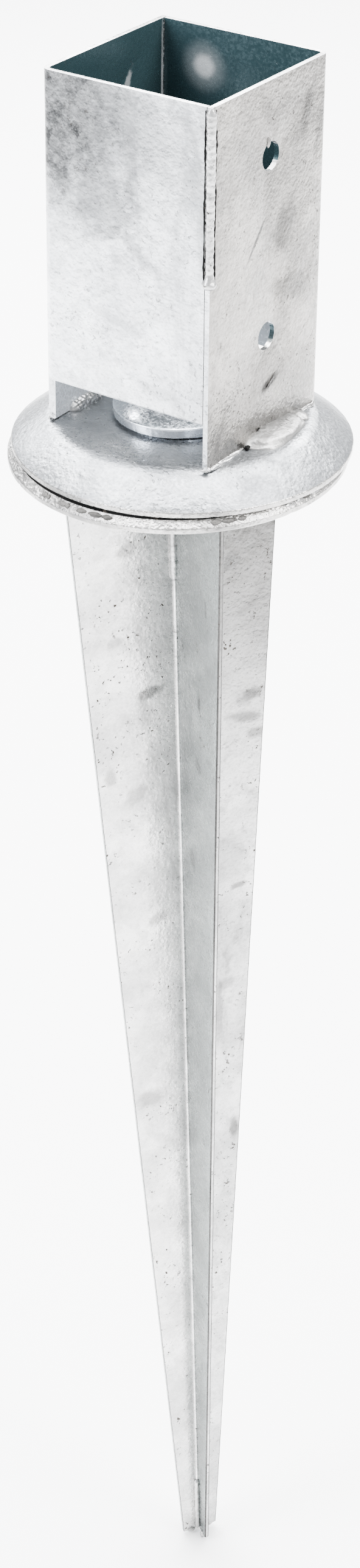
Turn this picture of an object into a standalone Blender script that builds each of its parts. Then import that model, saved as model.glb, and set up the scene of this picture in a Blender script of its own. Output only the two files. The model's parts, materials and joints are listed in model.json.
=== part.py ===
"""Drive-in post anchor: a square socket on a ball-type plate joint above a four-fin spike.

Frame: +Z up, origin on the socket's axis at the foot of its walls. The socket's long walls
face +X and -X, its short walls +Y and -Y. Everything below the joint leans about PIVOT,
the common centre of the dished surfaces.
"""

import math

import bmesh
import bpy
from mathutils import Matrix, Vector

# Driving dimensions, in metres
GAP = 0.0003                    # clearance between touching pieces
SHEET = 0.002                   # socket and spike sheet thickness
SOCKET_FOLD = 0.0035            # outer radius of the socket's folds
SPIKE_FOLD = 0.0026

SOCKET_X = 0.0738               # outside size across the long walls
SOCKET_Y = 0.0761               # outside size across the short walls
SOCKET_H = 0.139
SHORT_WALL_FOOT = 0.0185        # height of the gap under each short wall
SCREW_HOLE_R = 0.0055
SCREW_HOLE_HEIGHTS = (0.0406, 0.1105)

PIVOT_DEPTH = 0.096             # joint centre below the origin
LEAN = math.radians(1.83)       # spike against socket, as the joint is set
DISH_R = 0.0657
DISH_SHEET = 0.0023
UPPER_SPHERE = 0.108            # outer radius of the upper dish's flange
LOWER_SPHERE = 0.1051
LOWER_CROWN = 0.088             # lower dish's flat crown above the joint centre
KNUCKLE = 0.012                 # rounding between crown and flange
RIM_ROUND = 0.0006
SWING_HOLE_R = 0.0155           # oversize hole that lets the bolt lean
DISH_STEPS = 84

CLAMP_R = 0.025
SEAT_SPHERE = 0.10065           # domed top of the seat washer
DISC_SPHERE = 0.10095           # hollow underside of the clamp disc
DISC_SHEET = 0.0036

BOLT_HOLE_R = 0.0065
THREAD_R = 0.0058
NUT_HOLE_R = 0.0061
BOLT_FLATS = 0.018              # across the flats of head and nut
BOLT_HEAD_H = 0.0075
BOLT_LENGTH = 0.035
NUT_H = 0.0108
LOCK_WASHER_R = (0.0063, 0.0104)
LOCK_WASHER_H = 0.0025

FIN_ANGLE = math.radians(-31.7)  # direction of the front fin
# The spike is welded to the lower dish a little off its centre and out of square
SPIKE_OFFSET = (-0.0019, -0.0013)
SPIKE_TILT = math.radians(0.68)
SPIKE_TILT_ANGLE = math.radians(-55.3)  # direction of the line that it is tilted about
FIN_SPARE = 0.0012               # extra height, trimmed square to the crown
FIN_R_TOP = 0.046
FIN_R_TIP = 0.0084
OVERALL_H = 0.750
NUT_NOTCH = (0.017, 0.030)       # half width and depth, at the top of the fins

# Places that follow from them, measured from the joint centre
CROWN_TOP = PIVOT_DEPTH - GAP
SEAT_FOOT = CROWN_TOP + GAP
DISC_TOP_SPHERE = DISC_SPHERE + DISC_SHEET
WASHER_FOOT = math.sqrt(DISC_TOP_SPHERE ** 2 - LOCK_WASHER_R[0] ** 2) + GAP
HEAD_FOOT = WASHER_FOOT + LOCK_WASHER_H + GAP
NUT_TOP = LOWER_CROWN - DISH_SHEET - GAP
FIN_TOP = LOWER_CROWN - DISH_SHEET - GAP
FIN_LENGTH = OVERALL_H - SOCKET_H - PIVOT_DEPTH + FIN_TOP
# The spike's folds meet back to back on its axis, so each sheet's flat faces pass it by this much
FIN_OFFSET = SPIKE_FOLD * (1 - math.sqrt(0.5)) - GAP / math.sqrt(8)

GALVANISED = (0.62, 0.64, 0.66)
DIPPED_DULL = (0.52, 0.54, 0.56)
WELD_ZINC = (0.58, 0.57, 0.53)
PLATED = (0.60, 0.60, 0.58)


def clear_scene():
    for obj in list(bpy.data.objects):
        bpy.data.objects.remove(obj, do_unlink=True)


def make_collection(name):
    collection = bpy.data.collections.new(name)
    bpy.context.scene.collection.children.link(collection)
    return collection


def steel(name, colour, roughness=0.45):
    """A zinc-coated steel material with its own colour and roughness."""
    material = bpy.data.materials.new(name)
    material.use_nodes = True
    shader = material.node_tree.nodes["Principled BSDF"]
    shader.inputs["Base Color"].default_value = (*colour, 1.0)
    shader.inputs["Roughness"].default_value = roughness
    shader.inputs["Metallic"].default_value = 0.9
    return material


def make_frame(name, location, tilt=0.0, turn=0.0, parent=None):
    """An empty that carries pieces; tilt is about X, then turn is about Z."""
    frame = bpy.data.objects.new(name, None)
    frame.location = location
    frame.rotation_euler = (tilt, 0.0, turn)
    frame.parent = parent
    PARTS.objects.link(frame)
    return frame


def finish(obj, material, parent, smooth=False):
    """Put a piece in the model's collection with its material."""
    obj.data.materials.clear()
    obj.data.materials.append(material)
    obj.parent = parent
    if smooth:
        obj.data.shade_smooth()
        obj.data.set_sharp_from_angle(angle=math.radians(30))
    return obj


def as_cutter(obj, parent):
    """Hide a body that only cuts others, and keep it in the cutters' collection."""
    obj.parent = parent
    obj.hide_render = True
    obj.display_type = "WIRE"
    for collection in list(obj.users_collection):
        collection.objects.unlink(obj)
    CUTTERS.objects.link(obj)
    return obj


def boolean(obj, cutter, operation):
    modifier = obj.modifiers.new(cutter.name, "BOOLEAN")
    modifier.object = cutter
    modifier.operation = operation
    modifier.solver = "EXACT"


def arc(centre, radius, start, end, steps):
    """Points along an arc, both ends included; angles in radians."""
    angles = [start + (end - start) * i / steps for i in range(steps + 1)]
    return [(centre[0] + radius * math.cos(a), centre[1] + radius * math.sin(a)) for a in angles]


def rounded(outline, steps=4):
    """Replace each (x, y, radius) corner of a closed outline by an arc."""
    points = []
    for i, (x, y, radius) in enumerate(outline):
        corner = Vector((x, y))
        if radius == 0:
            points.append(corner[:])
            continue
        back = (Vector(outline[i - 1][:2]) - corner).normalized()
        ahead = (Vector(outline[(i + 1) % len(outline)][:2]) - corner).normalized()
        half_angle = back.angle(ahead) / 2
        centre = corner + (back + ahead).normalized() * radius / math.sin(half_angle)
        first = corner + back * radius / math.tan(half_angle) - centre
        last = corner + ahead * radius / math.tan(half_angle) - centre
        sweep = last.angle_signed(first)
        for step in range(steps + 1):
            spoke = first.copy()
            spoke.rotate(Matrix.Rotation(sweep * step / steps, 2))
            points.append((centre + spoke)[:])
    return points


def curve_to_mesh(curve, name, shift):
    """Turn a curve into a closed mesh object, moved by shift, and drop the curve."""
    helper = bpy.data.objects.new(name + "_curve", curve)
    PARTS.objects.link(helper)
    evaluated = helper.evaluated_get(bpy.context.evaluated_depsgraph_get())
    mesh = bpy.data.meshes.new_from_object(evaluated)
    work = bmesh.new()
    work.from_mesh(mesh)
    bmesh.ops.remove_doubles(work, verts=work.verts, dist=1e-6)
    bmesh.ops.recalc_face_normals(work, faces=work.faces)
    work.to_mesh(mesh)
    work.free()
    mesh.transform(shift)
    obj = bpy.data.objects.new(name, mesh)
    obj.matrix_world = helper.matrix_world
    PARTS.objects.link(obj)
    bpy.data.objects.remove(helper, do_unlink=True)
    return obj


def prism(name, outline, height):
    """A flat outline in XY, extruded up from Z = 0."""
    curve = bpy.data.curves.new(name, "CURVE")
    curve.dimensions = "2D"
    curve.fill_mode = "BOTH"
    curve.extrude = height / 2
    spline = curve.splines.new("POLY")
    spline.points.add(len(outline) - 1)
    for point, (x, y) in zip(spline.points, outline):
        point.co = (x, y, 0.0, 1.0)
    spline.use_cyclic_u = True
    return curve_to_mesh(curve, name, Matrix.Translation((0.0, 0.0, height / 2)))


def tapered_rod(name, length, radius, flatten=1.0):
    """A round-ended rod along X, centred on its origin and flattened in Z."""
    curve = bpy.data.curves.new(name, "CURVE")
    curve.dimensions = "3D"
    curve.bevel_depth = radius
    curve.bevel_resolution = 4
    curve.use_fill_caps = True
    end_steps = 4
    stations = [1 - math.cos(math.pi / 2 * (i + 0.5) / end_steps) for i in range(end_steps)]
    ends = [(-length / 2 + radius * s, math.sqrt(1 - (1 - s) ** 2)) for s in stations]
    ends += [(-x, scale) for x, scale in reversed(ends)]
    spline = curve.splines.new("POLY")
    spline.points.add(len(ends) - 1)
    for point, (x, scale) in zip(spline.points, ends):
        point.co = (x, 0.0, 0.0, 1.0)
        point.radius = scale
    return curve_to_mesh(curve, name, Matrix.Diagonal((1.0, 1.0, flatten, 1.0)))


def turned(name, profile, steps, closed=True):
    """A body turned about Z from a profile that runs down its outer side."""
    mesh = bpy.data.meshes.new(name)
    links = [(i, i + 1) for i in range(len(profile) - 1)]
    if closed:
        links.append((len(profile) - 1, 0))
    mesh.from_pydata([(r, 0.0, z) for r, z in profile], links, [])
    obj = bpy.data.objects.new(name, mesh)
    PARTS.objects.link(obj)
    screw = obj.modifiers.new("turn", "SCREW")
    screw.steps = steps
    screw.render_steps = steps
    screw.use_merge_vertices = True
    screw.merge_threshold = 1e-6
    screw.use_smooth_shade = True
    return obj


def box(name, low, high):
    """A box cutter between two corners of its parent's space."""
    bpy.ops.mesh.primitive_cube_add(size=1.0)
    obj = bpy.context.object
    obj.name = name
    size = Vector(high) - Vector(low)
    middle = (Vector(high) + Vector(low)) / 2
    obj.data.transform(Matrix.Translation(middle) @ Matrix.Diagonal((*size, 1.0)))
    return obj


# Socket


def angle_outline(leg_x, leg_y, fold):
    """Plan of a bent sheet: outer corner at the origin, legs along +X and +Y."""
    return rounded([
        (0.0, 0.0, fold),
        (leg_x, 0.0, 0.0),
        (leg_x, SHEET, 0.0),
        (SHEET, SHEET, fold - SHEET),
        (SHEET, leg_y, 0.0),
        (0.0, leg_y, 0.0),
    ])


def foot_notch_outline(length):
    """Side view of what is cut away under a short wall, past the long wall's end."""
    edge_round = 0.0015
    low = -0.005
    return rounded([
        (-length, low, 0.0),
        (SHEET + edge_round, low, 0.0),
        (SHEET + edge_round, 0.0, 0.0),
        (SHEET, 0.0, edge_round),
        (SHEET, SHORT_WALL_FOOT, edge_round),
        (-length, SHORT_WALL_FOOT, 0.0),
    ])


def socket_angle(side, turn):
    """One bent socket sheet; the second is the first turned half round."""
    name = "socket_angle_" + side
    material = steel(name + "_steel", GALVANISED, 0.4)
    corner = Matrix.Rotation(turn, 4, "Z") @ Vector((-SOCKET_X / 2, -SOCKET_Y / 2, 0.0))
    frame = make_frame(side + "_corner", corner, turn=turn, parent=HEAD)
    sheet = prism(name, angle_outline(SOCKET_X - SHEET - GAP, SOCKET_Y, SOCKET_FOLD), SOCKET_H)
    notch = prism(name + "_notch", foot_notch_outline(0.01), SOCKET_X + 0.02)
    notch.rotation_euler = (math.pi / 2, 0.0, math.pi / 2)
    notch.location = (-0.01, 0.0, 0.0)
    boolean(sheet, as_cutter(notch, frame), "DIFFERENCE")
    for height in SCREW_HOLE_HEIGHTS:
        bpy.ops.mesh.primitive_cylinder_add(vertices=32, radius=SCREW_HOLE_R, depth=0.02)
        drill = bpy.context.object
        drill.name = f"{name}_drill_{round(height * 1000)}"
        drill.location = (0.0, SOCKET_Y / 2, height)
        drill.rotation_euler = (0.0, math.pi / 2, 0.0)
        boolean(sheet, as_cutter(drill, frame), "DIFFERENCE")
    finish(sheet, material, frame, smooth=True)


def seam_weld(side, turn):
    """The flush bead that closes a long wall's end against a short wall, at the top."""
    length = 0.065
    half_width = 0.0021
    name = "weld_corner_" + side
    frame = make_frame(side + "_seam", (0.0, 0.0, 0.0), turn=turn, parent=HEAD)
    bead = tapered_rod(name, length + 2 * half_width, half_width, 0.5)
    bead.rotation_euler = (0.0, math.pi / 2, 0.0)
    bead.rotation_euler.rotate_axis("X", math.pi / 2)
    bead.location = (SOCKET_X / 2 - SHEET, -SOCKET_Y / 2, SOCKET_H - length / 2)
    reach = 0.004
    keep = box(name + "_keep", (SOCKET_X / 2 - SHEET - reach, -SOCKET_Y / 2 - reach, 0.0),
               (SOCKET_X / 2, -SOCKET_Y / 2 - GAP, SOCKET_H))
    boolean(bead, as_cutter(keep, frame), "INTERSECT")
    finish(bead, steel(name + "_zinc", WELD_ZINC, 0.5), frame, smooth=True)


def foot_weld(name, half, wall_x, outward, centre_y, length, radius, flatten):
    """A fillet between a long wall and the upper dish's crown.

    outward is +1 on the wall's outer side and -1 on its inner side.
    """
    frame = make_frame(name + "_line", (wall_x, centre_y, -GAP), parent=half)
    bead = tapered_rod(name, length, radius, flatten)
    bead.rotation_euler = (0.0, 0.0, math.pi / 2)
    near, far = sorted((GAP * outward, 2 * radius * outward))
    keep = box(name + "_keep", (near, -length, GAP), (far, length, 2 * radius))
    boolean(bead, as_cutter(keep, frame), "INTERSECT")
    finish(bead, steel(name + "_zinc", WELD_ZINC, 0.5), frame, smooth=True)


def foot_welds():
    """The outer and inner fillets under each long wall; the left pair is the right pair turned."""
    wall = SOCKET_X / 2
    for side, turn in (("right", 0.0), ("left", math.pi)):
        half = make_frame(side + "_half", (0.0, 0.0, 0.0), turn=turn, parent=HEAD)
        foot_weld(f"weld_foot_{side}_outer", half, wall, 1, 0.0069, 0.0365, 0.008, 0.82)
        foot_weld(f"weld_foot_{side}_inner", half, wall - SHEET, -1, 0.0152, 0.0205, 0.0032, 1.0)


# Dishes and the clamp between them


def dish_profile(sphere, crown_top, bore):
    """Section of a dished plate: flat crown, knuckle, spherical flange, upright rim."""
    inner_sphere = sphere - DISH_SHEET
    crown_foot = crown_top - DISH_SHEET
    flange_steps = 3
    top = arc((0.0, 0.0), sphere, math.asin(crown_top / sphere), math.acos(DISH_R / sphere),
              flange_steps)
    under = arc((0.0, 0.0), inner_sphere, math.acos(DISH_R / inner_sphere),
                math.asin(crown_foot / inner_sphere), flange_steps)
    outline = [(bore, crown_top, 0.0), (*top[0], KNUCKLE)]
    outline += [(*point, 0.0) for point in top[1:-1]]
    outline += [(*top[-1], RIM_ROUND), (*under[0], RIM_ROUND)]
    outline += [(*point, 0.0) for point in under[1:-1]]
    outline += [(*under[-1], KNUCKLE - DISH_SHEET), (bore, crown_foot, 0.0)]
    return rounded(outline, steps=2)


def upper_dish():
    dish = turned("upper_dish", dish_profile(UPPER_SPHERE, CROWN_TOP, SWING_HOLE_R), DISH_STEPS)
    finish(dish, steel("upper_dish_steel", GALVANISED), PIVOT_STRAIGHT)


def lower_dish():
    dish = turned("lower_dish", dish_profile(LOWER_SPHERE, LOWER_CROWN, BOLT_HOLE_R), DISH_STEPS)
    finish(dish, steel("lower_dish_steel", GALVANISED), PIVOT_LEANING)


def seat_washer():
    """The ring on the crown: flat below, domed above about the joint centre."""
    dome_start = math.acos(SWING_HOLE_R / SEAT_SPHERE)
    dome_end = math.acos(CLAMP_R / SEAT_SPHERE)
    profile = arc((0.0, 0.0), SEAT_SPHERE, dome_start, dome_end, 3)
    profile += [(CLAMP_R, SEAT_FOOT), (SWING_HOLE_R, SEAT_FOOT)]
    washer = turned("seat_washer", profile, 64)
    finish(washer, steel("seat_washer_steel", DIPPED_DULL), PIVOT_STRAIGHT)


def clamp_disc():
    """The dished washer that the bolt presses down; both faces follow the joint centre."""
    edge_round = 0.0006
    top = arc((0.0, 0.0), DISC_TOP_SPHERE, math.acos(BOLT_HOLE_R / DISC_TOP_SPHERE),
              math.acos(CLAMP_R / DISC_TOP_SPHERE), 4)
    under = arc((0.0, 0.0), DISC_SPHERE, math.acos(CLAMP_R / DISC_SPHERE),
                math.acos(BOLT_HOLE_R / DISC_SPHERE), 4)
    outline = [(*point, 0.0) for point in top[:-1]] + [(*top[-1], edge_round)]
    outline += [(*point, 0.0) for point in under]
    disc = turned("clamp_disc", rounded(outline, steps=2), 64)
    finish(disc, steel("clamp_disc_steel", DIPPED_DULL), PIVOT_LEANING)


def lock_washer():
    """A spring washer: a ring with one slanting cut."""
    inner, outer = LOCK_WASHER_R
    ring = turned("lock_washer", [
        (inner, WASHER_FOOT + LOCK_WASHER_H),
        (outer, WASHER_FOOT + LOCK_WASHER_H),
        (outer, WASHER_FOOT),
        (inner, WASHER_FOOT),
    ], 48)
    slit = box("lock_washer_slit", (0.0, -0.0006, -0.005), (0.02, 0.0006, 0.005))
    slit.location = (0.0, 0.0, WASHER_FOOT + LOCK_WASHER_H / 2)
    slit.rotation_euler = (math.radians(35), 0.0, math.radians(20))
    boolean(ring, as_cutter(slit, PIVOT_LEANING), "DIFFERENCE")
    finish(ring, steel("lock_washer_steel", PLATED), PIVOT_LEANING)


def hexagon(name, foot, height):
    """A hexagonal cutter over a stretch of the bolt's axis."""
    bpy.ops.mesh.primitive_cylinder_add(vertices=6, radius=BOLT_FLATS / math.sqrt(3), depth=height)
    obj = bpy.context.object
    obj.name = name
    obj.data.transform(Matrix.Translation((0.0, 0.0, foot + height / 2)))
    return obj


def pivot_bolt():
    """Hexagon bolt: a turned blank with a chamfered head, cut to its flats."""
    across_corners = BOLT_FLATS / math.sqrt(3)
    head_top = HEAD_FOOT + BOLT_HEAD_H
    shank_end = HEAD_FOOT - BOLT_LENGTH
    chamfer = 0.0009
    bolt = turned("pivot_bolt", [
        (0.0, head_top),
        (BOLT_FLATS / 2 - chamfer, head_top),
        (across_corners + chamfer, head_top - 2 * chamfer),
        (across_corners + chamfer, HEAD_FOOT),
        (THREAD_R, HEAD_FOOT),
        (THREAD_R, shank_end + chamfer),
        (THREAD_R - chamfer, shank_end),
        (0.0, shank_end),
    ], 48, closed=False)
    flats = hexagon("pivot_bolt_flats", shank_end - 0.002, BOLT_LENGTH + BOLT_HEAD_H + 0.004)
    boolean(bolt, as_cutter(flats, PIVOT_LEANING), "INTERSECT")
    finish(bolt, steel("pivot_bolt_steel", PLATED, 0.35), PIVOT_LEANING)


def pivot_nut():
    across_corners = BOLT_FLATS / math.sqrt(3)
    foot = NUT_TOP - NUT_H
    chamfer = 0.0009
    outer = across_corners + chamfer
    nut = turned("pivot_nut", [
        (NUT_HOLE_R, NUT_TOP),
        (outer, NUT_TOP),
        (outer, foot + 2 * chamfer),
        (BOLT_FLATS / 2 - chamfer, foot),
        (NUT_HOLE_R, foot),
    ], 48)
    flats = hexagon("pivot_nut_flats", foot - 0.002, NUT_H + 0.004)
    boolean(nut, as_cutter(flats, PIVOT_LEANING), "INTERSECT")
    finish(nut, steel("pivot_nut_steel", PLATED, 0.35), PIVOT_LEANING)


def nut_welds():
    """Two tacks between opposite flats of the nut and the lower dish's crown."""
    radius = 0.003
    for side, turn in (("a", math.pi / 2), ("b", -math.pi / 2)):
        name = "weld_nut_" + side
        frame = make_frame(name + "_line", (0.0, 0.0, NUT_TOP), turn=turn, parent=PIVOT_LEANING)
        tack = tapered_rod(name, 0.009, radius)
        tack.location = (0.0, BOLT_FLATS / 2, GAP)
        keep = box(name + "_keep", (-0.01, BOLT_FLATS / 2 + GAP, -0.01), (0.01, 0.02, 0.0))
        boolean(tack, as_cutter(keep, frame), "INTERSECT")
        finish(tack, steel(name + "_zinc", WELD_ZINC, 0.5), frame, smooth=True)


# Spike


def spike_angle(side, turn):
    """One V-bent sheet: two tapering fins at a right angle, back to back with the other."""
    name = "spike_angle_" + side
    frame = make_frame(side + "_fins", (0.0, 0.0, FIN_TOP - FIN_LENGTH), turn=turn, parent=SPIKE)
    leg = FIN_R_TOP + FIN_OFFSET
    sheet = prism(name, angle_outline(leg, leg, SPIKE_FOLD), FIN_LENGTH + FIN_SPARE)
    sheet.location = (-FIN_OFFSET, -FIN_OFFSET, 0.0)
    margin = 0.01
    taper_outline = [
        (FIN_R_TIP, 0.0),
        (FIN_R_TIP, -margin),
        (FIN_R_TOP + margin, -margin),
        (FIN_R_TOP + margin, FIN_LENGTH),
        (FIN_R_TOP, FIN_LENGTH),
    ]
    for leg_name, spin in (("a", 0.0), ("b", math.pi / 2)):
        wedge = prism(f"{name}_taper_{leg_name}", taper_outline, 2 * margin)
        wedge.rotation_euler = (math.pi / 2, 0.0, spin)
        wedge.location = (-margin * math.sin(spin), margin * math.cos(spin), 0.0)
        boolean(sheet, as_cutter(wedge, frame), "DIFFERENCE")
    trim = box(name + "_trim", (-0.07, -0.07, FIN_TOP), (0.07, 0.07, FIN_TOP + margin))
    boolean(sheet, as_cutter(trim, PIVOT_LEANING), "DIFFERENCE")
    half_width, depth = NUT_NOTCH
    notch = box(name + "_notch", (-half_width, -half_width, FIN_LENGTH - depth),
                (half_width, half_width, FIN_LENGTH + 0.01))
    boolean(sheet, as_cutter(notch, frame), "DIFFERENCE")
    finish(sheet, steel(name + "_steel", GALVANISED, 0.42), frame, smooth=True)


def fin_weld(name, turn, side):
    """A fillet under the lower dish's crown, on the side of a fin that side (+1, -1) names."""
    radius = 0.003
    frame = make_frame(name + "_line", (*SPIKE_OFFSET, FIN_TOP), turn=FIN_ANGLE + turn,
                       parent=PIVOT_LEANING)
    bead = tapered_rod(name, 0.022, radius)
    bead.location = (0.032, side * FIN_OFFSET, GAP)
    near, far = sorted((side * (FIN_OFFSET + GAP), side * 0.01))
    keep = box(name + "_keep", (0.0, near, -0.01), (0.06, far, 0.0))
    boolean(bead, as_cutter(keep, frame), "INTERSECT")
    finish(bead, steel(name + "_zinc", WELD_ZINC, 0.5), frame, smooth=True)


def groove_weld(name, turn, top, length, radius):
    """A bead lying in the outer groove between the two spike angles."""
    reach = FIN_OFFSET + GAP + radius
    frame = make_frame(name + "_line", (0.0, 0.0, top - length / 2), turn=turn, parent=SPIKE)
    bead = tapered_rod(name, length, radius)
    bead.rotation_euler = (0.0, math.pi / 2, 0.0)
    bead.location = (reach, -reach, 0.0)
    finish(bead, steel(name + "_zinc", WELD_ZINC, 0.6), frame, smooth=True)


def spike():
    for side, turn in (("front", 0.0), ("back", math.pi)):
        spike_angle(side, turn)
        groove_weld("weld_neck_" + side, turn, FIN_TOP - NUT_NOTCH[1] - 0.002, 0.03, 0.0016)
        groove_weld("weld_tip_" + side, turn, FIN_TOP - FIN_LENGTH + 0.034, 0.033, 0.001)
    quarter = math.pi / 2
    fin_weld("weld_fin_front", 0.0, -1)
    fin_weld("weld_fin_left", -quarter, 1)
    fin_weld("weld_fin_back", math.pi, -1)
    fin_weld("weld_fin_right", quarter, 1)


clear_scene()
PARTS = make_collection("post_anchor_spike")
CUTTERS = make_collection("cutters")
HEAD = make_frame("socket_axis", (0.0, 0.0, 0.0))
PIVOT_STRAIGHT = make_frame("pivot_straight", (0.0, 0.0, -PIVOT_DEPTH))
PIVOT_LEANING = make_frame("pivot_leaning", (0.0, 0.0, -PIVOT_DEPTH), tilt=LEAN)
SPIKE_SEAT = make_frame("spike_seat", (*SPIKE_OFFSET, FIN_TOP), tilt=SPIKE_TILT,
                        turn=SPIKE_TILT_ANGLE, parent=PIVOT_LEANING)
SPIKE = make_frame("spike_axis", (0.0, 0.0, -FIN_TOP), turn=FIN_ANGLE - SPIKE_TILT_ANGLE,
                   parent=SPIKE_SEAT)

socket_angle("left", 0.0)
socket_angle("right", math.pi)
seam_weld("front", 0.0)
seam_weld("back", math.pi)
foot_welds()
upper_dish()
seat_washer()
clamp_disc()
lock_washer()
pivot_bolt()
lower_dish()
pivot_nut()
nut_welds()
spike()
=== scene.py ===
"""Looks of the post anchor spike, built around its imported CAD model. Metres throughout."""

import json
import math

import bmesh
import bpy
from mathutils import Matrix, Vector, noise


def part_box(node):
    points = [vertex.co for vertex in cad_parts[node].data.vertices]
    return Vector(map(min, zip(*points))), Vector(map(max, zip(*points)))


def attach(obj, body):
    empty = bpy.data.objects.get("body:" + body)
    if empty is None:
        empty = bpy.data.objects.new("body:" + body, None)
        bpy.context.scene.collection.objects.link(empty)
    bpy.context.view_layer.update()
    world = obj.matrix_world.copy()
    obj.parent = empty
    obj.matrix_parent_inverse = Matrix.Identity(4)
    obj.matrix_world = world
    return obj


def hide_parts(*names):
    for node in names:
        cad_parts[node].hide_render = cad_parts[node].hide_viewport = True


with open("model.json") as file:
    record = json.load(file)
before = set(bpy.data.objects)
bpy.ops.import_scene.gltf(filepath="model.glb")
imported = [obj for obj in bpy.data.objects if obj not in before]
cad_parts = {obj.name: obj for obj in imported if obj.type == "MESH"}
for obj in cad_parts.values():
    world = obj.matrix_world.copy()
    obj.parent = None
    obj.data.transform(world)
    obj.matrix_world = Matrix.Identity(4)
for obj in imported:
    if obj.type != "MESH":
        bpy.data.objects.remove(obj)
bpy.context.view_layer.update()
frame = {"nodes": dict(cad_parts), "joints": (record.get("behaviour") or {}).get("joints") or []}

# Places and sizes of the CAD model
JOINTS = {joint["name"]: joint for joint in frame["joints"]}
PIVOT = Vector(JOINTS["seat_turn"]["pos_m"])
LEAN_AXIS = Vector(JOINTS["seat_turn"]["axis"])
LEAN = math.atan2(-LEAN_AXIS.y, LEAN_AXIS.z)
WALL_X = 0.0369                 # outer face of the long walls
WALL_Y = 0.03805                # outer face of the short walls
SHEET = 0.002
SOCKET_H = 0.139
DISH_R = 0.0657
DISH_SHEET = 0.0023
UPPER_SPHERE = 0.108
LOWER_SPHERE = 0.1051
LOWER_CROWN = 0.088
CROWN_TOP = 0.0957
KNUCKLE = 0.012
RIM_ROUND = 0.0007
SWING_HOLE_R = 0.0155
CLAMP_R = 0.025
SEAT_SPHERE = 0.10065
SEAT_FOOT = 0.096
DISC_SPHERE = 0.10095
DISC_SHEET = 0.0036
BOLT_HOLE_R = 0.0065
THREAD_R = 0.0058
THREAD_PITCH = 0.00175
BOLT_FLATS = 0.018
BOLT_HEAD_H = 0.0075
BOLT_LENGTH = 0.035
LOCK_WASHER_R = (0.0063, 0.0104)
LOCK_WASHER_H = 0.0025
DISC_TOP = DISC_SPHERE + DISC_SHEET
WASHER_FOOT = math.sqrt(DISC_TOP ** 2 - LOCK_WASHER_R[0] ** 2) + 0.0003
HEAD_FOOT = WASHER_FOOT + LOCK_WASHER_H + 0.0003
FIN_ANGLE = math.radians(-31.7)
FIN_TOP = LOWER_CROWN - DISH_SHEET - 0.0003
FIN_LENGTH = 0.750 - SOCKET_H - 0.096 + FIN_TOP
SPIKE_OFFSET = (-0.0019, -0.0013)
SPIKE_TILT = math.radians(0.68)
SPIKE_TILT_ANGLE = math.radians(-55.3)

STRAIGHT = Matrix.Translation(PIVOT)
LEANING = STRAIGHT @ Matrix.Rotation(LEAN, 4, "X")
SPIKE_SEAT = LEANING @ Matrix.Translation((*SPIKE_OFFSET, FIN_TOP))
SPIKE = (SPIKE_SEAT @ Matrix.Rotation(SPIKE_TILT_ANGLE, 4, "Z")
         @ Matrix.Rotation(SPIKE_TILT, 4, "X")
         @ Matrix.Rotation(FIN_ANGLE - SPIKE_TILT_ANGLE, 4, "Z")
         @ Matrix.Translation((0.0, 0.0, -FIN_TOP)))


# Materials

# Scales of the noises that make up the zinc, per metre
CLOUD_SCALE = 26.0
SMEAR_SCALE = 52.0
SMEAR_REGION_SCALE = 13.0
CRYSTAL_SCALE = 230.0
MOTTLE_SCALE = 150.0
GRIT_SCALE = 760.0
PIT_SCALE = 560.0
PIT_CLUMP_SCALE = 60.0
SHEEN_SCALE = 900.0
PEEL_SCALE = 620.0
WAVE_SCALE = 95.0
RAGGED_SCALE = 160.0

PIT_TONE = (0.035, 0.03, 0.026, 1.0)
PEEL_DEPTH = 0.0006
PATCH_CORE = 0.35               # share of a patch's radius that has the full tone
THROUGH = 0.02                  # half depth of a patch, across its wall or fin
SHORT_WALL_MARK_Y = 0.038
LONG_WALL_MARK_X = 0.037
FIN_MARK_RAGGED = 0.6


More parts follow.
